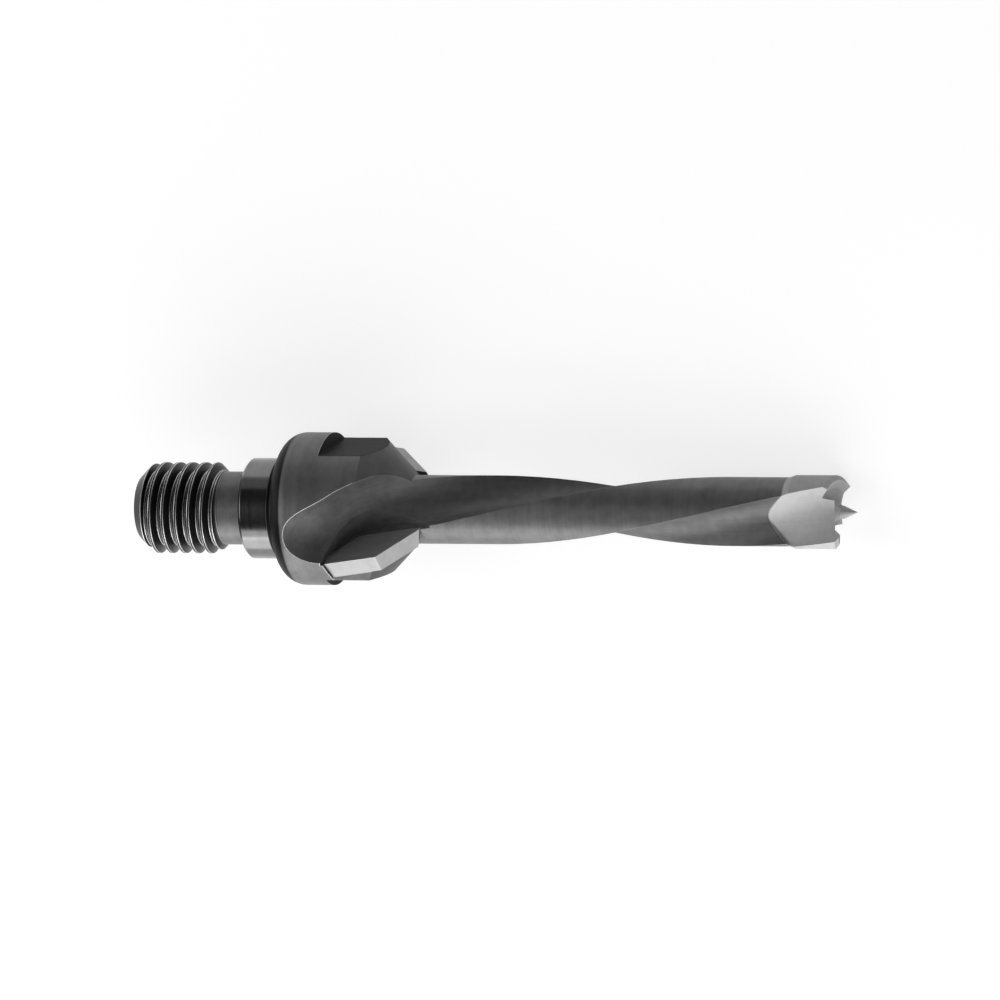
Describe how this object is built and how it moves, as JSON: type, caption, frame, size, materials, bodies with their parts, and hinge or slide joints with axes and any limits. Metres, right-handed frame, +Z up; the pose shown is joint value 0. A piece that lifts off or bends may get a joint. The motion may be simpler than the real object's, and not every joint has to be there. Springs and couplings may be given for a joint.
{
  "type": "dowel drill with countersink",
  "caption": "Left-hand boring bit: threaded shank, register collar, flanged two-wing 45 degree countersink with carbide inserts, fluted stem and carbide brad point.",
  "frame": {"origin": "on the floor under the middle of the tool's outline seen from above; the tool lies at rest on its flange and on two corners of its carbide tip", "axes": "+X along the tool from shank to point, seen from above (the tool's own axis dips towards the point by the resting angle), +Z up, +Y to the left of the direction of the point"},
  "size_m": [0.0816, 0.0166, 0.0166],
  "materials": {
    "steel": "burnished tool steel, dark",
    "carbide": "ground tungsten carbide",
    "braze": "pale silver solder"
  },
  "bodies": {
    "root": {"tool_body": "steel", "drill_tip": "carbide", "countersink_insert_a": "carbide", "countersink_insert_b": "carbide", "tip_braze": "braze", "insert_braze_a": "braze", "insert_braze_b": "braze"}
  },
  "joints": []
}
